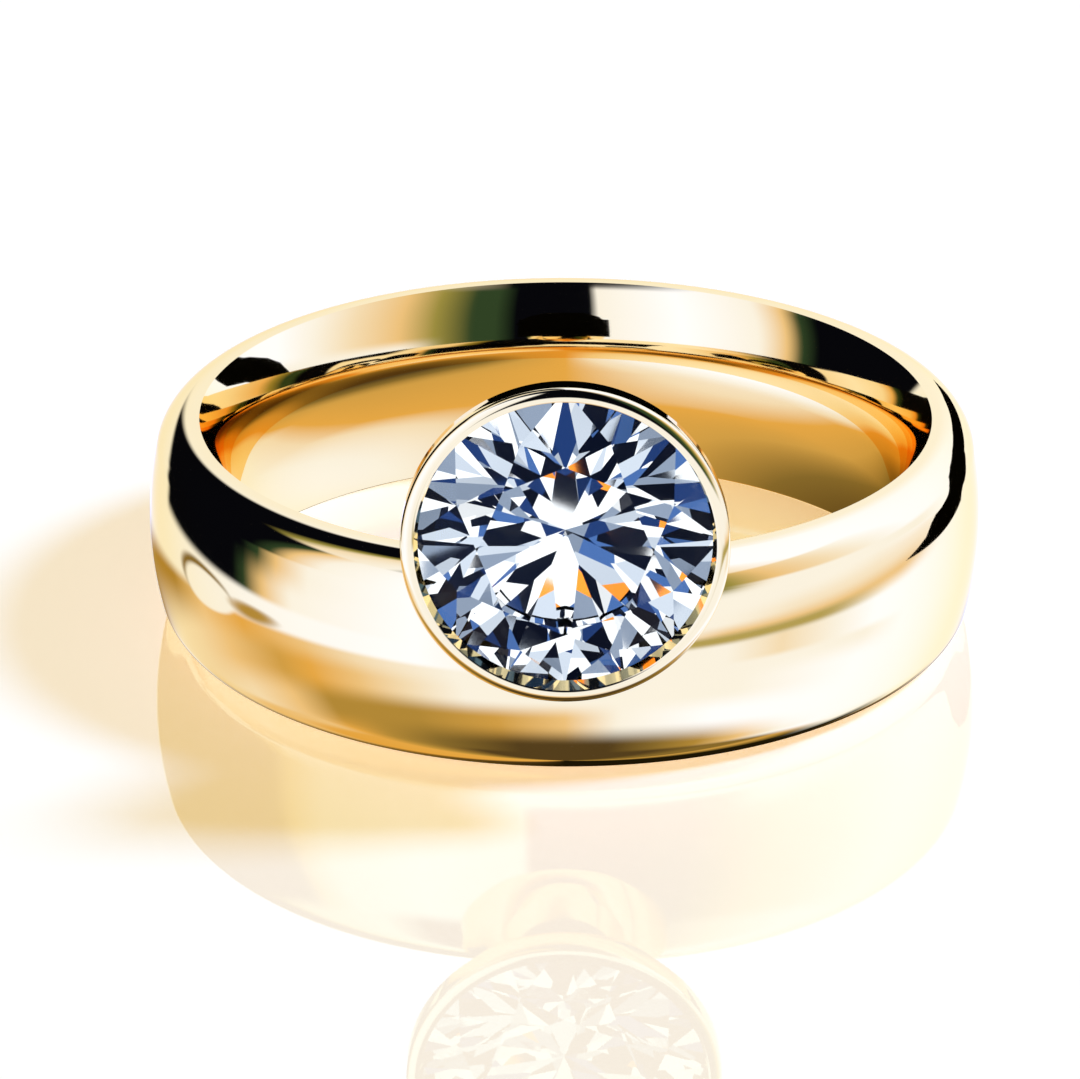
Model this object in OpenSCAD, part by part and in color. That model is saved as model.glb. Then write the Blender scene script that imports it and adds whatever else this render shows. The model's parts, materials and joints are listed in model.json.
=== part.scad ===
// Bezel set ring: a domed comfort fit band with one round brilliant in a closed bezel cup.
// Millimetres. The origin is the centre of the finger hole, the finger runs along Z, and the stone faces -Y.

/* [Finger and band] */
// Diameter of the finger hole at its narrowest, US size 6
finger_d = 16.5; // [15.5:0.1:17.5]
// Width of the band along the finger
band_width = 5.15; // [5:0.05:5.4]
// Thickness of the band at mid width
band_thickness = 1.95; // [1.9:0.05:2]
// Radius of the two outer shoulders
shoulder_round = 0.9; // [0.85:0.01:0.95]
// How far the hole opens out at each rim
comfort_rise = 0.68; // [0.6:0.01:0.7]
// Length of the straight wall in the middle of the hole
land_length = 0.7; // [0.6:0.05:0.9]
// Width of the flat ring on each rim
rim_flat = 0.18; // [0.15:0.01:0.2]

/* [Stone] */
// Diameter of the stone at its girdle
stone_d = 6.76; // [6.6:0.02:6.8]
// Table width as a share of the stone's diameter
table_share = 0.575; // [0.54:0.005:0.6]
// Height of the crown
crown_height = 0.88; // [0.84:0.02:0.92]
// Thickness of the girdle
girdle_height = 0.12; // [0.1:0.02:0.16]
// Angle of the pavilion's main facets from the girdle plane
pavilion_angle = 40.8; // [40:0.1:41]
// How far the girdle's top lies behind the lip's crest
girdle_depth = 0.6; // [0.58:0.01:0.62]

/* [Bezel head] */
// Distance from the finger's axis to the lip's crest
crest_reach = 12.18; // [12.15:0.01:12.3]
// Height of the head's centre above the band's mid plane
head_rise = 4.17; // [4.1:0.01:4.25]
// Upward tilt of the head
head_tilt = 5; // [4:0.5:6]
// Outer diameter of the bezel
bezel_d = 7.3; // [7.26:0.02:7.4]
// Diameter of the opening in front of the stone
opening_d = 6.54; // [6.5:0.02:6.56]
// Radius of the lip's outer corner
lip_round = 0.12; // [0.1:0.01:0.14]
// Radius of the lip's broad crest
crest_round = 0.32; // [0.3:0.01:0.34]
// Length of the straight collar behind the lip's crest
collar_length = 0.65; // [0.6:0.01:0.7]
// Radius of the cup's closed back
cup_back_r = 2.15; // [2:0.05:2.2]
// Chamfer round the cup's back
cup_back_chamfer = 0.25; // [0.15:0.05:0.3]
// Depth of the whole cup behind the lip's crest
cup_depth = 3.95; // [3.93:0.01:3.97]
// Clearance between the stone and the metal
stone_gap = 0.03; // [0.02:0.01:0.04]

/* [Stem] */
// Radius of the stem inside the cup
stem_top_r = 1.3; // [1.2:0.05:1.35]
// Radius of the stem inside the band
stem_base_r = 1.55; // [1.4:0.05:1.6]
// Height of the stem's axis above the band's mid plane
stem_rise = 1.75; // [1.7:0.05:1.9]
// Length of the stem, with what is buried at both ends
stem_length = 2; // [1.9:0.05:2.1]

/* [Hidden] */

smooth = 128;
arc_steps = 14;

finger_r = finger_d / 2;
band_r = finger_r + band_thickness;
half_width = band_width / 2;
half_land = land_length / 2;
rim_in = finger_r + comfort_rise;
rim_out = rim_in + rim_flat;

// The crown arc of the band passes its outer radius and touches both shoulder arcs.
shoulder_z = half_width - shoulder_round;
shoulder_step = rim_out - band_r;
crown_r = (pow(shoulder_round, 2) - pow(shoulder_step, 2) - pow(shoulder_z, 2))
    / (2 * (shoulder_step + shoulder_round));
crown_half_angle = asin(shoulder_z / (crown_r - shoulder_round));

// The comfort arcs start square to the straight wall and end on the rims.
comfort_span = half_width - half_land;
comfort_r = (pow(comfort_span, 2) + pow(comfort_rise, 2)) / (2 * comfort_rise);
comfort_angle = asin(comfort_span / comfort_r);

stone_r = stone_d / 2;
facet_step = 45;
half_step = facet_step / 2;
// The girdle's sixteen corners lie just outside the round girdle that cuts them off.
corner_r = stone_r / cos(half_step / 2);
table_r = stone_r * table_share;
star_share = 0.5;
star_r = table_r * cos(half_step) * (1 - star_share) + stone_r * star_share;
star_z = crown_height * (corner_r - star_r * cos(half_step)) / (corner_r - table_r);
pavilion_depth = corner_r * tan(pavilion_angle);
lower_half_share = 0.77;
lower_r = corner_r * (1 - lower_half_share);
lower_z = pavilion_depth * (1 - lower_r * cos(half_step) / corner_r);

bezel_r = bezel_d / 2;
opening_r = opening_d / 2;
lip_corner_angle = 60;
lip_end_angle = 105;
lip_x = bezel_r - lip_round;
lip_z = (crest_round - lip_round) * sin(lip_corner_angle) - crest_round;
crest_x = lip_x - (crest_round - lip_round) * cos(lip_corner_angle);
seat_r = stone_r + stone_gap;
crown_slope = crown_height / (corner_r - table_r);
bevel_z = -girdle_depth + crown_slope * (corner_r - opening_r) + stone_gap;
seat_top_z = -girdle_depth + crown_slope * (corner_r - seat_r) + 2 * stone_gap;
seat_base_z = -girdle_depth - girdle_height - (corner_r - stone_r) * tan(pavilion_angle) - stone_gap;
seat_tip_z = -girdle_depth - girdle_height - pavilion_depth - 2 * stone_gap;
stem_bury = 1.1;

function arc(centre, radius, from, to, first = 0) =
    [for (i = [first:arc_steps])
        let (a = from + (to - from) * i / arc_steps)
        [centre[0] + radius * cos(a), centre[1] + radius * sin(a)]];

function polar(radius, angle, height) = [radius * cos(angle), radius * sin(angle), height];

function reversed(list) = [for (i = [len(list) - 1:-1:0]) list[i]];

function mirrored(points) = reversed([for (p = points) [p[0], -p[1]]]);

// Upper half of the band's section, from the outer mid line to the wall of the hole
function band_upper() = concat(
    arc([band_r - crown_r, 0], crown_r, 0, crown_half_angle),
    arc([rim_out, shoulder_z], shoulder_round, crown_half_angle, 90, 1),
    arc([finger_r + comfort_r, half_land], comfort_r, 180 - comfort_angle, 180)
);

module band() {
    upper = band_upper();
    lower = [for (p = mirrored(upper)) if (p[1] < 0) p];
    rotate_extrude($fn = smooth) polygon(concat(upper, lower));
}

module place_head() {
    translate([0, -crest_reach, head_rise]) rotate([90 - head_tilt, 0, 0]) children();
}

// Closed cup whose round lip leans over the stone's crown; its axis is Z and its crest is at zero
module cup() {
    rotate_extrude($fn = smooth) polygon(concat(
        [[0, seat_tip_z], [0, -cup_depth]],
        [[cup_back_r - cup_back_chamfer, -cup_depth], [cup_back_r, cup_back_chamfer - cup_depth]],
        [[bezel_r, -collar_length]],
        arc([lip_x, lip_z], lip_round, 0, lip_corner_angle),
        arc([crest_x, -crest_round], crest_round, lip_corner_angle, lip_end_angle, 1),
        [[opening_r, bevel_z], [seat_r, seat_top_z], [seat_r, seat_base_z]]
    ));
}

// Tapered stem from the band's upper shoulder out into the cup's underside
module stem() {
    translate([0, stem_bury - band_r, stem_rise]) rotate([90, 0, 0])
        cylinder(h = stem_length, r1 = stem_base_r, r2 = stem_top_r, $fn = smooth);
}

// Space inside the cup, from the stone's seat out through the opening
module cup_hollow() {
    rotate_extrude($fn = smooth) polygon([
        [0, seat_tip_z], [seat_r, seat_base_z], [seat_r, seat_top_z], [opening_r, bevel_z],
        [opening_r, 1], [0, 1]
    ]);
}

module band_with_bezel() {
    color([0.87, 0.65, 0.27]) union() {
        band();
        place_head() cup();
        difference() {
            stem();
            place_head() cup_hollow();
        }
    }
}

// Round brilliant: table, eight kites, eight stars, sixteen upper halves, eight mains, sixteen lower halves
module brilliant() {
    table_points = [for (k = [0:7]) polar(table_r, k * facet_step, crown_height)];
    star_points = [for (k = [0:7]) polar(star_r, k * facet_step + half_step, star_z)];
    girdle_top = [for (k = [0:15]) polar(corner_r, k * half_step, 0)];
    girdle_base = [for (k = [0:15]) polar(corner_r, k * half_step, -girdle_height)];
    lower_points = [for (k = [0:7]) polar(lower_r, k * facet_step + half_step, -girdle_height - lower_z)];
    culet = [0, 0, -girdle_height - pavilion_depth];
    star = 8;
    top = 16;
    base = 32;
    low = 48;
    tip = 56;
    outward = concat(
        [[for (k = [0:7]) k]],
        [for (k = [0:7]) [k, star + (k + 7) % 8, top + 2 * k, star + k]],
        [for (k = [0:7]) [k, star + k, (k + 1) % 8]],
        [for (k = [0:7]) [star + k, top + 2 * k, top + 2 * k + 1]],
        [for (k = [0:7]) [star + k, top + 2 * k + 1, top + (2 * k + 2) % 16]],
        [for (k = [0:15]) [top + k, base + k, base + (k + 1) % 16, top + (k + 1) % 16]],
        [for (k = [0:7]) [low + k, base + 2 * k + 1, base + 2 * k]],
        [for (k = [0:7]) [low + k, base + (2 * k + 2) % 16, base + 2 * k + 1]],
        [for (k = [0:7]) [tip, low + k, base + 2 * k, low + (k + 7) % 8]]
    );
    intersection() {
        polyhedron(
            points = concat(table_points, star_points, girdle_top, girdle_base, lower_points, [culet]),
            faces = [for (face = outward) reversed(face)]
        );
        cylinder(h = 4 * pavilion_depth, r = stone_r, center = true, $fn = smooth);
    }
}

module stone() {
    color([0.8, 0.86, 0.95]) place_head() translate([0, 0, -girdle_depth]) brilliant();
}

band_with_bezel();
stone();
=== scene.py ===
"""Looks for the bezel set ring: polished yellow gold, a faceted brilliant and a pale glossy floor."""

import json
import math

import bmesh
import bpy
from mathutils import Matrix, Vector


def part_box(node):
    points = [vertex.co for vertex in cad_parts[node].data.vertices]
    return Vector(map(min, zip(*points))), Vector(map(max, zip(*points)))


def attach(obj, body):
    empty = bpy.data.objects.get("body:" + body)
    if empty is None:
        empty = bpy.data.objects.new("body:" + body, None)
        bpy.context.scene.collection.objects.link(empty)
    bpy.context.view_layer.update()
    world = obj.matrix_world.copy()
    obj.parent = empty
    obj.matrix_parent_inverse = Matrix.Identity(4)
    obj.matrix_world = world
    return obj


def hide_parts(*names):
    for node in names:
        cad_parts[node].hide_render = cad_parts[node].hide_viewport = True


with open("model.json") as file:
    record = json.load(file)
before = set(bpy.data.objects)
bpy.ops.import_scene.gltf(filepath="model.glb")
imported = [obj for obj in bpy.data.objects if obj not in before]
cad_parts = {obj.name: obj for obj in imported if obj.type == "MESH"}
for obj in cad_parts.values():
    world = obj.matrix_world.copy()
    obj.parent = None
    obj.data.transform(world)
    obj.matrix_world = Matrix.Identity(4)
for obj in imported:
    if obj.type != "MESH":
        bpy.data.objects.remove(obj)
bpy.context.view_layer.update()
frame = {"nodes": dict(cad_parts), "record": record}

MM = 0.001

# Band section, the same sizes as the CAD model
FINGER_R = frame["record"]["mounts"][0]["dims"]["r_mm"] * MM
BAND_THICKNESS = 1.95 * MM
HALF_WIDTH = -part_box("band_with_bezel")[0].z
SHOULDER_ROUND = 0.9 * MM
COMFORT_RISE = 0.68 * MM
HALF_LAND = 0.35 * MM
RIM_FLAT = 0.18 * MM

# Bezel head
CREST_REACH = 12.18 * MM
HEAD_RISE = 4.17 * MM
HEAD_TILT = math.radians(5)
BEZEL_R = 3.65 * MM
OPENING_R = 3.27 * MM
LIP_ROUND = 0.12 * MM
LIP_CORNER = math.radians(60)
LIP_END = math.radians(105)
CREST_ROUND = 0.32 * MM
COLLAR_LENGTH = 0.65 * MM
CUP_BACK_R = 2.15 * MM
CUP_BACK_CHAMFER = 0.25 * MM
CUP_DEPTH = 3.95 * MM

# Stone and its seat
STONE_R = 3.38 * MM
STONE_GAP = 0.03 * MM
TABLE_SHARE = 0.575
CROWN_HEIGHT = 0.88 * MM
GIRDLE_HEIGHT = 0.12 * MM
GIRDLE_DEPTH = 0.6 * MM
PAVILION_ANGLE = math.radians(40.8)
GIRDLE_CORNER_R = STONE_R / math.cos(math.pi / 16)
CROWN_SLOPE = CROWN_HEIGHT / (GIRDLE_CORNER_R - STONE_R * TABLE_SHARE)
GIRDLE_BASE_DEPTH = GIRDLE_DEPTH + GIRDLE_HEIGHT

# Stem
STEM_BURY = 1.1 * MM
STEM_LENGTH = 2.0 * MM
STEM_RISE = 1.75 * MM
STEM_BASE_R = 1.55 * MM
STEM_TOP_R = 1.3 * MM

# Camera, fitted to the photograph's rim, outline and floor line
PHOTO_W = 1080
PHOTO_H = 1079
CAMERA_ELEVATION = math.radians(22.97)
CAMERA_DISTANCE = 121.74 * MM
FOCAL_PX = 4941.6
CENTRE_PX = (565.2, 506.6)
SENSOR_MM = 36.0
CLIP_START = 0.001
CLIP_END = 10.0

# Fineness of the meshes
BAND_TURNS = 480
CUP_TURNS = 256
STEM_TURNS = 128
WELL_TURNS = 96
CROWN_STEPS = 16
SHOULDER_STEPS = 20
COMFORT_STEPS = 24
LIP_STEPS = 12
CREST_STEPS = 20
SHARP_EDGE = math.radians(28)

# Polished gold, with a faint haze that dulls and darkens it in patches
GOLD = (1.0, 0.77, 0.4)
GOLD_EDGE = (1.0, 0.82, 0.48)
GOLD_ROUGHNESS = (0.02, 0.05)
HAZE_SCALE = 420.0
HAZE_DETAIL = 4.0
HAZE_SPAN = (0.3, 0.7)
HAZE_SHADE = 0.985

# Clear stone
STONE_COLOUR = (0.98, 0.99, 1.0)
STONE_SHEEN = (0.02, 0.02, 0.02)
STONE_ROUGHNESS = 0.01
STONE_INDEX = 2.42

# Light that the stone's facets gather: share of directions at which each colour starts
SHARDS = (
    (0.0, (0.003, 0.005, 0.014)),
    (0.22, (0.014, 0.040, 0.150)),
    (0.31, (0.060, 0.140, 0.370)),
    (0.39, (0.240, 0.300, 0.400)),
    (0.53, (0.560, 0.630, 0.720)),
    (0.69, (0.940, 0.975, 1.000)),
    (0.986, (1.200, 0.360, 0.040)),
)
SHARD_SCALE = 9.0
SHARD_SEED = 11.0
# How a patch's shade changes from its middle outward, over this distance
SHARD_REACH = 0.6
SHARD_SHADES = (0.6, 1.3)

# Floor
FLOOR_HALF = 0.6
FLOOR_COLOUR = (0.93, 0.93, 0.93)
FLOOR_GLOW = (0.58, 0.345, 0.16)
FLOOR_MIRROR = (0.10, 0.15, 0.15)

# Key light and the light that the studio scatters
KEY_ENERGY = 2.1
KEY_COLOUR = (0.28, 0.55, 1.0)
KEY_SPREAD = math.radians(14)
KEY_TOWARD = Vector((0.85, 0.10, 0.90))
SCATTERED = (0.24, 0.28, 0.13)

# The black flag stands on a line at the right: share of the way along it, height in millimetres
FLAG_START = Vector((38, 4, 0)) * MM
FLAG_END = Vector((18, 30, 0)) * MM
FLAG_OUTLINE = (
    (-0.1, -6.4),
    (0.27, -6.2),
    (0.5, -6.0),
    (0.57, -4.6),
    (0.6, 0.0),
    (0.66, 3.4),
    (0.8, 4.6),
    (1.0, 4.6),
    (1.09, 7.0),
    (1.05, 10.6),
    (0.9, 12.0),
    (0.72, 12.0),
    (0.56, 10.8),
    (0.45, 8.6),
    (0.38, 5.0),
    (0.33, 1.0),
    (0.26, -2.2),
    (0.1, -5.0),
)
CARD_BLACK = (0.002, 0.002, 0.002)

# Small cards: millimetres behind the finger's axis, below 0 in front, then corners to the right and up
CARD_OUTLINES = {
    "lip_flag": (
        -7.9,
        ((-2.9, 6.9), (3.6, 6.2), (3.2, 7.5), (2.6, 8.4), (1.4, 9.2), (-1.4, 9.2), (-2.4, 8.3)),
    ),
    "cup_flag": (-4.0, ((-2.1, 2.7), (2.3, 2.7), (2.3, 6.2), (-2.1, 6.2))),
}

# Colours as they look in one reflection off the gold, linear
SEEN = {
    "black": (0.002, 0.002, 0.003),
    "green": (0.030, 0.055, 0.018),
    "olive": (0.330, 0.265, 0.050),
    "moss": (0.460, 0.340, 0.085),
    "umber": (0.012, 0.008, 0.002),
    "brown": (0.090, 0.050, 0.012),
    "bronze": (0.240, 0.140, 0.024),
    "ochre": (0.450, 0.250, 0.038),
    "amber": (0.640, 0.340, 0.060),
    "orange": (0.800, 0.390, 0.060),
    "tan": (0.860, 0.540, 0.200),
    "sand": (0.920, 0.720, 0.440),
    "cream": (0.980, 0.900, 0.740),
    "white": (1.050, 1.020, 0.980),
}

# Painted reflection of the floor inside the ring, from left to right, as seen in the gold: pale where
# lit at the left, brown where shaded at the right
WELL_RISE = 0.02 * MM
WELL_LIT_AND_SHADED = (
    (0.0, "white"),
    (0.24, "cream"),
    (0.4, "sand"),
    (0.5, "orange"),
    (0.66, "amber"),
    (0.82, "bronze"),
    (1.0, "brown"),
)

# Studio around the ring: azimuth in degrees (0 is -Y, 90 is +X), colour seen in the gold
# From DEEP up to HORIZON the rings lie below the horizon and are a painted reflection of the floor:
# painted shade turns them umber and brown in front, where the ring meets the floor, and painted shadow
# turns them orange and tan at the left
DEEP = (
    (-180, "umber"),
    (-165, "brown"),
    (-150, "orange"),
    (-80, "orange"),
    (-58, "ochre"),
    (-32, "brown"),
    (35, "brown"),
    (62, "bronze"),
    (82, "bronze"),
    (97, "amber"),
    (120, "bronze"),
    (135, "umber"),
    (180, "umber"),
)
LOW = (
    (-180, "umber"),
    (-165, "bronze"),
    (-150, "tan"),
    (-88, "tan"),
    (-75, "orange"),
    (-60, "ochre"),
    (-42, "bronze"),
    (-15, "brown"),
    (15, "brown"),
    (30, "bronze"),
    (45, "ochre"),
    (60, "tan"),
    (75, "cream"),
    (90, "white"),
    (125, "white"),
    (145, "umber"),
    (180, "umber"),
)
MIDDLE = (
    (-180, "umber"),
    (-168, "bronze"),
    (-150, "sand"),
    (-110, "sand"),
    (-90, "tan"),
    (-75, "ochre"),
    (-45, "ochre"),
    (-20, "amber"),
    (0, "tan"),
    (16, "cream"),
    (45, "white"),
    (148, "white"),
    (156, "bronze"),
    (164, "umber"),
    (180, "umber"),
)
NEAR = (
    (-180, "umber"),
    (-172, "bronze"),
    (-160, "cream"),
    (-130, "sand"),
    (-110, "tan"),
    (-88, "amber"),
    (-76, "orange"),
    (-60, "tan"),
    (-45, "sand"),
    (-28, "cream"),
    (50, "cream"),
    (90, "white"),
    (158, "white"),
    (168, "bronze"),
    (180, "umber"),
)
FAR = (
    (-180, "cream"),
    (-168, "ochre"),
    (-138, "ochre"),
    (-120, "tan"),
    (-100, "orange"),
    (-76, "tan"),
    (-58, "sand"),
    (-30, "cream"),
    (90, "cream"),
    (106, "white"),
    (168, "white"),
    (180, "cream"),
)
HORIZON = (
    (-180, "white"),
    (-150, "cream"),
    (-120, "cream"),
    (-40, "white"),
    (-12, "cream"),
    (44, "cream"),
    (60, "sand"),
    (78, "cream"),
    (92, "white"),
    (180, "white"),
)
BASE_WALLS = (
    (-180, "cream"),
    (-141, "cream"),
    (-138, "black"),
    (-100, "black"),
    (-95, "green"),
    (-88, "tan"),
    (-78, "cream"),
    (-40, "white"),
    (-10, "cream"),
    (92, "cream"),
    (108, "white"),
    (165, "white"),
    (180, "cream"),
)
LOW_WALLS = (
    (-180, "cream"),
    (-141, "cream"),
    (-138, "black"),
    (-96, "black"),
    (-90, "green"),
    (-83, "tan"),
    (-72, "cream"),
    (-40, "white"),
    (-10, "cream"),
    (92, "cream"),
    (108, "white"),
    (165, "white"),
    (180, "cream"),
)
WALLS = (
    (-180, "cream"),
    (-168, "cream"),
    (-163, "black"),
    (-92, "black"),
    (-85, "green"),
    (-79, "tan"),
    (-68, "cream"),
    (-40, "white"),
    (-11, "cream"),
    (-9, "black"),
    (17, "black"),
    (24, "green"),
    (32, "green"),
    (45, "olive"),
    (58, "tan"),
    (76, "sand"),
    (92, "cream"),
    (108, "white"),
    (160, "white"),
    (180, "cream"),
)
CEILING = (
    (-180, "white"),
    (-170, "black"),
    (-120, "black"),
    (-106, "olive"),
    (-94, "sand"),
    (-60, "cream"),
    (-45, "black"),
    (20, "black"),
    (50, "sand"),
    (80, "white"),
    (180, "white"),
)

# The elevations over which each ring of colour takes over from the one below it
RINGS = (
    (-60, -51, LOW),
    (-49, -41, MIDDLE),
    (-39, -32, NEAR),
    (-30, -24, FAR),
    (-24, -22, HORIZON),
    (-17.5, -15.5, BASE_WALLS),
    (-13, -6, LOW_WALLS),
    (-3, 3, WALLS),
    (41, 46, CEILING),
)

# Flags and cards: colour, azimuths, elevations, softness across and upward
CARDS = (
    ("cream", (50, 118), (-7, 8), (10, 4)),
    ("sand", (52, 120), (-13, -9), (16, 4)),
    ("tan", (34, 112), (-15, -12), (12, 2)),
    ("moss", (12, 84), (-16.5, -13.8), (14, 1)),
)

# Oval lights and shadows: colour, middle, half width and height, edge softness as a share
OVALS = (
    ("cream", (-162, -4), (22, 18), 0.2),
    ("bronze", (-116, -21.0), (13, 3.3), 0.3),
    ("cream", (-114.5, -21.9), (12.5, 3.2), 0.25),
    ("ochre", (-94, -21.4), (9, 1.6), 0.9),
)


def arc(centre, radius, start, end, steps, first=0):
    """Points (r, z) along an arc from start to end, in radians."""
    points = []
    for i in range(first, steps + 1):
        angle = start + (end - start) * i / steps
        points.append((centre[0] + radius * math.cos(angle), centre[1] + radius * math.sin(angle)))
    return points


def band_section():
    """The closed section of the band: domed outside, comfort fit inside."""
    band_r = FINGER_R + BAND_THICKNESS
    rim_in = FINGER_R + COMFORT_RISE
    rim_out = rim_in + RIM_FLAT
    shoulder_z = HALF_WIDTH - SHOULDER_ROUND
    step = rim_out - band_r
    crown_r = (SHOULDER_ROUND ** 2 - step ** 2 - shoulder_z ** 2) / (2 * (step + SHOULDER_ROUND))
    crown_angle = math.asin(shoulder_z / (crown_r - SHOULDER_ROUND))
    span = HALF_WIDTH - HALF_LAND
    comfort_r = (span ** 2 + COMFORT_RISE ** 2) / (2 * COMFORT_RISE)
    comfort_angle = math.asin(span / comfort_r)
    upper = arc((band_r - crown_r, 0), crown_r, 0, crown_angle, CROWN_STEPS)
    upper += arc((rim_out, shoulder_z), SHOULDER_ROUND, crown_angle, math.pi / 2, SHOULDER_STEPS, 1)
    comfort_middle = (FINGER_R + comfort_r, HALF_LAND)
    upper += arc(comfort_middle, comfort_r, math.pi - comfort_angle, math.pi, COMFORT_STEPS)
    lower = [(r, -z) for r, z in reversed(upper) if z > 0]
    return upper + lower


def seat_section():
    """The seat's profile from the opening behind the lip down to the tip under the culet."""
    seat_r = STONE_R + STONE_GAP
    bevel_z = CROWN_SLOPE * (GIRDLE_CORNER_R - OPENING_R) + STONE_GAP - GIRDLE_DEPTH
    top_z = CROWN_SLOPE * (GIRDLE_CORNER_R - seat_r) + 2 * STONE_GAP - GIRDLE_DEPTH
    corner_drop = (GIRDLE_CORNER_R - STONE_R) * math.tan(PAVILION_ANGLE)
    base_z = -GIRDLE_BASE_DEPTH - corner_drop - STONE_GAP
    tip_z = -GIRDLE_BASE_DEPTH - GIRDLE_CORNER_R * math.tan(PAVILION_ANGLE) - 2 * STONE_GAP
    return [(OPENING_R, bevel_z), (seat_r, top_z), (seat_r, base_z), (0, tip_z)]


def cup_section():
    """The closed section of the bezel cup, whose axis is Z and whose crest is at zero."""
    outer = [(0, -CUP_DEPTH), (CUP_BACK_R - CUP_BACK_CHAMFER, -CUP_DEPTH)]
    outer += [(CUP_BACK_R, CUP_BACK_CHAMFER - CUP_DEPTH), (BEZEL_R, -COLLAR_LENGTH)]
    lip_x = BEZEL_R - LIP_ROUND
    step = CREST_ROUND - LIP_ROUND
    lip_z = step * math.sin(LIP_CORNER) - CREST_ROUND
    crest_x = lip_x - step * math.cos(LIP_CORNER)
    lip = arc((lip_x, lip_z), LIP_ROUND, 0, LIP_CORNER, LIP_STEPS)
    lip += arc((crest_x, -CREST_ROUND), CREST_ROUND, LIP_CORNER, LIP_END, CREST_STEPS, 1)
    return outer + lip + seat_section()


def lathe(name, section, turns):
    """A closed section turned about Z into a solid mesh. Points at r = 0 become single poles."""
    mesh = bmesh.new()
    rings = []
    for r, z in section:
        if r == 0:
            rings.append([mesh.verts.new((0, 0, z))] * turns)
        else:
            ring = []
            for k in range(turns):
                angle = 2 * math.pi * k / turns
                ring.append(mesh.verts.new((r * math.cos(angle), r * math.sin(angle), z)))
            rings.append(ring)
    for a, b in zip(rings, rings[1:] + rings[:1]):
        for k in range(turns):
            corners = [a[k], a[(k + 1) % turns], b[(k + 1) % turns], b[k]]
            corners = list(dict.fromkeys(corners))
            if len(corners) > 2:
                mesh.faces.new(corners)
    bmesh.ops.recalc_face_normals(mesh, faces=mesh.faces[:])
    return finish_mesh(name, mesh)


def finish_mesh(name, mesh):
    """Turns a bmesh into a linked object."""
    data = bpy.data.meshes.new(name)
    mesh.to_mesh(data)
    mesh.free()
    piece = bpy.data.objects.new(name, data)
    bpy.context.scene.collection.objects.link(piece)
    return piece


def head_matrix():
    """Places the head's own frame, whose Z looks out of the bezel, on the band."""
    turn = Matrix.Rotation(math.pi / 2 - HEAD_TILT, 4, "X")
    return Matrix.Translation((0, -CREST_REACH, HEAD_RISE)) @ turn


def stem_piece():
    """The tapered stem between the band's shoulder and the cup."""
    mesh = bmesh.new()
    bmesh.ops.create_cone(
        mesh,
        cap_ends=True,
        segments=STEM_TURNS,
        radius1=STEM_BASE_R,
        radius2=STEM_TOP_R,
        depth=STEM_LENGTH,
    )
    base_y = STEM_BURY - FINGER_R - BAND_THICKNESS
    place = Matrix.Translation((0, base_y, STEM_RISE)) @ Matrix.Rotation(math.pi / 2, 4, "X")
    place = place @ Matrix.Translation((0, 0, STEM_LENGTH / 2))
    bmesh.ops.transform(mesh, matrix=place, verts=mesh.verts[:])
    return finish_mesh("stem", mesh)


def apply_boolean(piece, other, operation):
    """Joins or cuts one piece with another and removes the other."""
    modifier = piece.modifiers.new(operation.lower(), "BOOLEAN")
    modifier.operation = operation
    modifier.solver = "EXACT"
    modifier.object = other
    depsgraph = bpy.context.evaluated_depsgraph_get()
    data = bpy.data.meshes.new_from_object(piece.evaluated_get(depsgraph))
    piece.modifiers.clear()
    piece.data = data
    bpy.data.objects.remove(other)


def gold_ring():
    """Band, cup and stem as one soldered piece of gold."""
    piece = lathe("gold_ring", band_section(), BAND_TURNS)
    cup = lathe("cup", cup_section(), CUP_TURNS)
    cup.data.transform(head_matrix())
    hollow = lathe("hollow", [(0, MM), (OPENING_R, MM)] + seat_section(), CUP_TURNS)
    hollow.data.transform(head_matrix())
    stem = stem_piece()
    bpy.context.view_layer.update()
    apply_boolean(stem, hollow, "DIFFERENCE")
    apply_boolean(piece, cup, "UNION")
    apply_boolean(piece, stem, "UNION")
    for polygon in piece.data.polygons:
        polygon.use_smooth = True
    piece.data.set_sharp_from_angle(angle=SHARP_EDGE)
    return piece


def new_material(name):
    """A node material with its tree and its Principled shader."""
    material = bpy.data.materials.new(name)
    material.use_nodes = True
    tree = material.node_tree
    return material, tree, tree.nodes["Principled BSDF"]


def noise(tree, scale, detail):
    """A noise texture in the object's own metres."""
    coordinates = tree.nodes.new("ShaderNodeTexCoord")
    texture = tree.nodes.new("ShaderNodeTexNoise")
    texture.inputs["Scale"].default_value = scale
    texture.inputs["Detail"].default_value = detail
    tree.links.new(coordinates.outputs["Object"], texture.inputs["Vector"])
    return texture


def ranged(tree, source, low, high):
    """Maps an output of 0 to 1 onto low to high."""
    node = tree.nodes.new("ShaderNodeMapRange")
    node.inputs["To Min"].default_value = low
    node.inputs["To Max"].default_value = high
    tree.links.new(source, node.inputs["Value"])
    return node.outputs["Result"]


def fill_ramp(ramp, stops):
    """Gives a colour ramp its stops, each a position and a colour."""
    while len(ramp.elements) < len(stops):
        ramp.elements.new(0.5)
    for element, (position, colour) in zip(ramp.elements, stops):
        element.position = position
        element.color = colour


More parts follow.
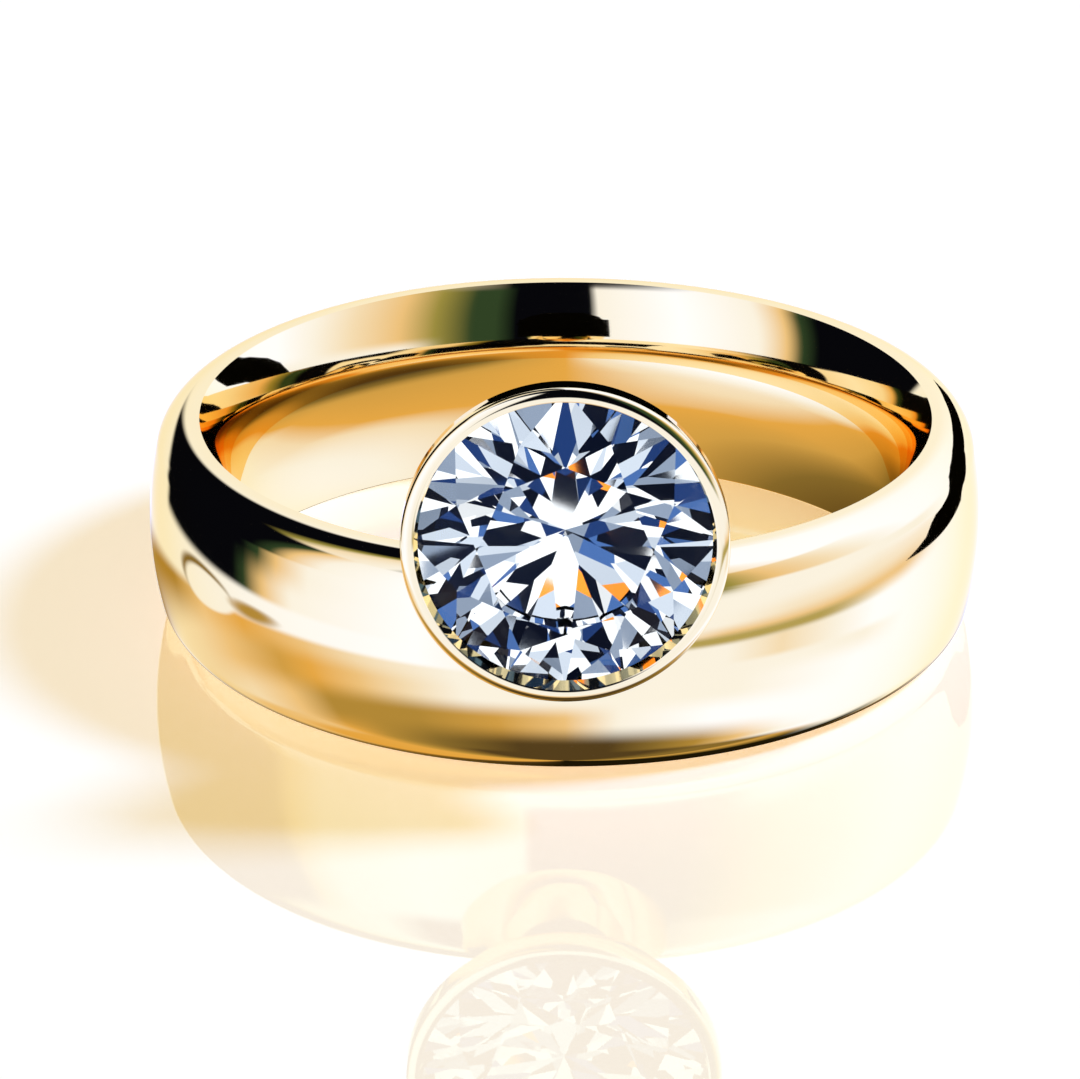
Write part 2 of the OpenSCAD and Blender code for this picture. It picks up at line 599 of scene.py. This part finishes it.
def gold_material():
    """Mirror polished yellow gold with faint haze where it has been rubbed."""
    material, tree, shader = new_material("polished_gold")
    shader.inputs["Metallic"].default_value = 1.0
    shader.inputs["Specular Tint"].default_value = (*GOLD_EDGE, 1)
    haze = noise(tree, HAZE_SCALE, HAZE_DETAIL)
    ramp = tree.nodes.new("ShaderNodeValToRGB")
    shades = ((*(c * HAZE_SHADE for c in GOLD), 1), (*GOLD, 1))
    fill_ramp(ramp.color_ramp, tuple(zip(HAZE_SPAN, shades)))
    tree.links.new(haze.outputs["Fac"], ramp.inputs["Fac"])
    tree.links.new(ramp.outputs["Color"], shader.inputs["Base Color"])
    tree.links.new(ranged(tree, haze.outputs["Fac"], *GOLD_ROUGHNESS), shader.inputs["Roughness"])
    return material


def shard_colour(tree, cells):
    """Hard patches from black through blue to white, one for each Voronoi cell."""
    split = tree.nodes.new("ShaderNodeSeparateColor")
    tree.links.new(cells.outputs["Color"], split.inputs["Color"])
    node = tree.nodes.new("ShaderNodeValToRGB")
    node.color_ramp.interpolation = "CONSTANT"
    fill_ramp(node.color_ramp, [(position, (*colour, 1)) for position, colour in SHARDS])
    tree.links.new(split.outputs["Red"], node.inputs["Fac"])
    return node.outputs["Color"]


def stone_material():
    """Clear cut stone, as bright as its cut makes it."""
    material, _, shader = new_material("brilliant")
    shader.inputs["Base Color"].default_value = (*STONE_COLOUR, 1)
    shader.inputs["Transmission Weight"].default_value = 1.0
    shader.inputs["Specular Tint"].default_value = (*STONE_SHEEN, 1)
    shader.inputs["Roughness"].default_value = STONE_ROUGHNESS
    shader.inputs["IOR"].default_value = STONE_INDEX
    return material


def floor_material():
    """Pale glossy floor: golden in shadow, white where the key light and the mirrored sky add up."""
    material, tree, shader = new_material("pale_floor")
    shader.inputs["Base Color"].default_value = (*FLOOR_COLOUR, 1)
    shader.inputs["Specular IOR Level"].default_value = 0.0
    shader.inputs["Emission Color"].default_value = (*FLOOR_GLOW, 1)
    shader.inputs["Emission Strength"].default_value = 1.0
    mirror = tree.nodes.new("ShaderNodeBsdfGlossy")
    mirror.inputs["Color"].default_value = (*FLOOR_MIRROR, 1)
    mirror.inputs["Roughness"].default_value = 0.0
    both = tree.nodes.new("ShaderNodeAddShader")
    tree.links.new(shader.outputs["BSDF"], both.inputs[0])
    tree.links.new(mirror.outputs["BSDF"], both.inputs[1])
    tree.links.new(both.outputs["Shader"], tree.nodes["Material Output"].inputs["Surface"])
    return material


def black_card(name, corners):
    """Black studio card, seen only as a dark shape in the gold."""
    mesh = bmesh.new()
    mesh.faces.new([mesh.verts.new(corner) for corner in corners])
    card = finish_mesh(name, mesh)
    material, _, shader = new_material(name + "_black")
    shader.inputs["Base Color"].default_value = (*CARD_BLACK, 1)
    shader.inputs["Roughness"].default_value = 1.0
    shader.inputs["Specular IOR Level"].default_value = 0.0
    card.data.materials.append(material)
    mirror_only(card)


def mirror_only(piece):
    """Makes a stage piece that only polished surfaces mirror, without the floor's sharper mirror."""
    tree = piece.data.materials[0].node_tree
    path = tree.nodes.new("ShaderNodeLightPath")
    clear = tree.nodes.new("ShaderNodeBsdfTransparent")
    both = tree.nodes.new("ShaderNodeMixShader")
    tree.links.new(path.outputs["Is Singular Ray"], both.inputs["Fac"])
    tree.links.new(tree.nodes["Principled BSDF"].outputs["BSDF"], both.inputs[1])
    tree.links.new(clear.outputs["BSDF"], both.inputs[2])
    tree.links.new(both.outputs["Shader"], tree.nodes["Material Output"].inputs["Surface"])
    piece.visible_camera = False
    piece.visible_diffuse = False
    piece.visible_transmission = False
    piece.visible_shadow = False


def flag_pieces():
    """The flag at the right, and small cards for the bezel's lip and the cup's back."""
    right = [FLAG_START.lerp(FLAG_END, share) + Vector((0, 0, h * MM)) for share, h in FLAG_OUTLINE]
    black_card("flag", right)
    for name, (depth, outline) in CARD_OUTLINES.items():
        black_card(name, [Vector((x, depth, z)) * MM for x, z in outline])


def painted_well_reflection():
    """Glowing golden disc on the floor inside the ring, pale at the left and brown at the right, for
    the inner wall to mirror: a painted reflection of the floor, with painted shade towards the right.
    """
    mesh = bmesh.new()
    bmesh.ops.create_circle(mesh, cap_ends=True, segments=WELL_TURNS, radius=FINGER_R + COMFORT_RISE)
    well = finish_mesh("well", mesh)
    well.location.z = WELL_RISE - HALF_WIDTH
    # Black and glowing only: a painted reflection of the floor inside the ring, lit at the left and
    # shaded at the right
    material, tree, shader = new_material("well_glow")
    shader.inputs["Base Color"].default_value = (0, 0, 0, 1)
    shader.inputs["Specular IOR Level"].default_value = 0.0
    shader.inputs["Emission Strength"].default_value = 1.0
    coordinates = tree.nodes.new("ShaderNodeTexCoord")
    split = tree.nodes.new("ShaderNodeSeparateXYZ")
    tree.links.new(coordinates.outputs["Object"], split.inputs["Vector"])
    across = tree.nodes.new("ShaderNodeMapRange")
    across.inputs["From Min"].default_value = -FINGER_R
    across.inputs["From Max"].default_value = FINGER_R
    tree.links.new(split.outputs["X"], across.inputs["Value"])
    ramp = tree.nodes.new("ShaderNodeValToRGB")
    fill_ramp(ramp.color_ramp, [(position, source_colour(SEEN[name])) for position, name in WELL_LIT_AND_SHADED])
    tree.links.new(across.outputs["Result"], ramp.inputs["Fac"])
    tree.links.new(ramp.outputs["Color"], shader.inputs["Emission Color"])
    well.data.materials.append(material)
    mirror_only(well)


def key_light():
    """Cool key light from the right and behind. Its shadow leaves the floor's warm glow alone."""
    data = bpy.data.lights.new("key", "SUN")
    data.energy = KEY_ENERGY
    data.color = KEY_COLOUR
    data.angle = KEY_SPREAD
    key = bpy.data.objects.new("key", data)
    key.rotation_euler = KEY_TOWARD.to_track_quat("Z", "Y").to_euler()
    key.visible_glossy = False
    key.visible_transmission = False
    bpy.context.scene.collection.objects.link(key)


def floor_piece():
    """Square floor under the ring."""
    mesh = bmesh.new()
    corners = [(-1, -1), (1, -1), (1, 1), (-1, 1)]
    mesh.faces.new([mesh.verts.new((x * FLOOR_HALF, y * FLOOR_HALF, -HALF_WIDTH)) for x, y in corners])
    floor = finish_mesh("floor", mesh)
    floor.data.materials.append(floor_material())
    floor.visible_glossy = False
    floor.visible_transmission = False


def source_colour(seen):
    """The light that shows as the seen colour after one reflection off the gold."""
    return (*(value / metal for value, metal in zip(seen, GOLD)), 1)


class WorldNodes:
    """Helpers that build the studio's light by direction."""

    def __init__(self, tree):
        """Finds each direction's azimuth and elevation in degrees."""
        self.tree = tree
        coordinates = tree.nodes.new("ShaderNodeTexCoord")
        split = tree.nodes.new("ShaderNodeSeparateXYZ")
        tree.links.new(coordinates.outputs["Generated"], split.inputs["Vector"])
        back = self.calculate("MULTIPLY", split.outputs["Y"], -1.0)
        self.azimuth = self.calculate("DEGREES", self.calculate("ARCTAN2", split.outputs["X"], back))
        self.elevation = self.calculate("DEGREES", self.calculate("ARCSINE", split.outputs["Z"]))

    def calculate(self, operation, a, b=None):
        """One math node on outputs or plain numbers."""
        node = self.tree.nodes.new("ShaderNodeMath")
        node.operation = operation
        for socket, value in zip(node.inputs, (a, b)):
            if value is None:
                continue
            if isinstance(value, (int, float)):
                socket.default_value = value
            else:
                self.tree.links.new(value, socket)
        return node.outputs["Value"]

    def step(self, value, start, end):
        """Rises smoothly from 0 at start to 1 at end."""
        node = self.tree.nodes.new("ShaderNodeMapRange")
        node.interpolation_type = "SMOOTHSTEP"
        node.inputs["From Min"].default_value = start
        node.inputs["From Max"].default_value = end
        self.tree.links.new(value, node.inputs["Value"])
        return node.outputs["Result"]

    def ring(self, stops):
        """Colour by azimuth."""
        node = self.tree.nodes.new("ShaderNodeValToRGB")
        colours = [(degrees / 360 + 0.5, source_colour(SEEN[name])) for degrees, name in stops]
        fill_ramp(node.color_ramp, colours)
        turn = self.calculate("ADD", self.calculate("DIVIDE", self.azimuth, 360.0), 0.5)
        self.tree.links.new(turn, node.inputs["Fac"])
        return node.outputs["Color"]

    def mix(self, factor, a, b):
        """Goes from colour a to colour b as the factor rises."""
        node = self.tree.nodes.new("ShaderNodeMix")
        node.data_type = "RGBA"
        self.tree.links.new(factor, node.inputs[0])
        for socket, value in ((node.inputs[6], a), (node.inputs[7], b)):
            if isinstance(value, tuple):
                socket.default_value = value
            else:
                self.tree.links.new(value, socket)
        return node.outputs[2]

    def shards(self):
        """Many sharp edged patches from black through blue to white, for the cut stone."""
        coordinates = self.tree.nodes.new("ShaderNodeTexCoord")
        cells = self.tree.nodes.new("ShaderNodeTexVoronoi")
        cells.voronoi_dimensions = "4D"
        cells.inputs["W"].default_value = SHARD_SEED
        cells.inputs["Scale"].default_value = SHARD_SCALE
        self.tree.links.new(coordinates.outputs["Generated"], cells.inputs["Vector"])
        shade = self.tree.nodes.new("ShaderNodeMapRange")
        shade.inputs["From Max"].default_value = SHARD_REACH
        shade.inputs["To Min"].default_value = SHARD_SHADES[0]
        shade.inputs["To Max"].default_value = SHARD_SHADES[1]
        self.tree.links.new(cells.outputs["Distance"], shade.inputs["Value"])
        shaded = self.tree.nodes.new("ShaderNodeVectorMath")
        shaded.operation = "SCALE"
        self.tree.links.new(shard_colour(self.tree, cells), shaded.inputs["Vector"])
        self.tree.links.new(shade.outputs["Result"], shaded.inputs["Scale"])
        return shaded.outputs["Vector"]

    def patch(self, under, name, azimuths, elevations, softness):
        """Lays one soft edged rectangle of colour over what is there."""
        mask = None
        spans = zip((self.azimuth, self.elevation), (azimuths, elevations), softness)
        for value, (low, high), soft in spans:
            rise = self.step(value, low - soft, low + soft)
            fall = self.step(value, high + soft, high - soft)
            edge = self.calculate("MULTIPLY", rise, fall)
            mask = edge if mask is None else self.calculate("MULTIPLY", mask, edge)
        return self.mix(mask, under, source_colour(SEEN[name]))

    def oval(self, under, name, middle, half, softness):
        """Lays one soft edged oval of colour over what is there."""
        squares = []
        for value, centre, reach in zip((self.azimuth, self.elevation), middle, half):
            share = self.calculate("DIVIDE", self.calculate("SUBTRACT", value, centre), reach)
            squares.append(self.calculate("POWER", share, 2.0))
        mask = self.step(self.calculate("ADD", *squares), 1 + softness, 1 - softness)
        return self.mix(mask, under, source_colour(SEEN[name]))


def studio_world():
    """Directional studio light: walls, dark flags, ceiling and the glow of the floor, which below the
    horizon is a painted reflection with painted shade near the ring.
    """
    world = bpy.data.worlds.new("studio")
    bpy.context.scene.world = world
    world.use_nodes = True
    tree = world.node_tree
    nodes = WorldNodes(tree)
    colour = nodes.ring(DEEP)
    for start, end, stops in RINGS:
        above = nodes.step(nodes.elevation, start, end)
        colour = nodes.mix(above, colour, nodes.ring(stops))
    for card in CARDS:
        colour = nodes.patch(colour, *card)
    for oval in OVALS:
        colour = nodes.oval(colour, *oval)
    path = tree.nodes.new("ShaderNodeLightPath")
    colour = nodes.mix(path.outputs["Is Transmission Ray"], colour, nodes.shards())
    colour = nodes.mix(path.outputs["Is Singular Ray"], colour, source_colour(SEEN["cream"]))
    colour = nodes.mix(path.outputs["Is Diffuse Ray"], colour, (*SCATTERED, 1))
    world.cycles.sampling_method = "NONE"
    tree.links.new(colour, tree.nodes["Background"].inputs["Color"])
    tree.nodes["Background"].inputs["Strength"].default_value = 1.0


def photo_camera():
    """Camera at the photograph's angle, aimed so that the ring sits where the photograph has it."""
    forward = Vector((0, math.cos(CAMERA_ELEVATION), -math.sin(CAMERA_ELEVATION)))
    up = Vector((0, math.sin(CAMERA_ELEVATION), math.cos(CAMERA_ELEVATION)))
    right = Vector((1, 0, 0))
    side = (PHOTO_W / 2 - CENTRE_PX[0]) / FOCAL_PX
    rise = (CENTRE_PX[1] - PHOTO_H / 2) / FOCAL_PX
    data = bpy.data.cameras.new("camera")
    data.sensor_width = SENSOR_MM
    data.lens = FOCAL_PX / PHOTO_W * SENSOR_MM
    data.clip_start = CLIP_START
    data.clip_end = CLIP_END
    camera = bpy.data.objects.new("camera", data)
    camera.location = -forward * CAMERA_DISTANCE
    aim = forward + right * side + up * rise
    camera.rotation_euler = aim.to_track_quat("-Z", "Y").to_euler()
    bpy.context.scene.collection.objects.link(camera)
    bpy.context.scene.camera = camera


def set_slots(piece, material):
    """Gives every slot of a piece one material."""
    piece.data.materials.clear()
    piece.data.materials.append(material)
    for polygon in piece.data.polygons:
        polygon.material_index = 0


photo_camera()
bpy.context.scene.view_settings.view_transform = "Standard"

ring = gold_ring()
set_slots(ring, gold_material())
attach(ring, "root")
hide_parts("band_with_bezel")
ring.visible_transmission = False

stone = frame["nodes"]["stone"]
stone.material_slots[0].material = stone_material()

floor_piece()
flag_pieces()
painted_well_reflection()
key_light()
studio_world()
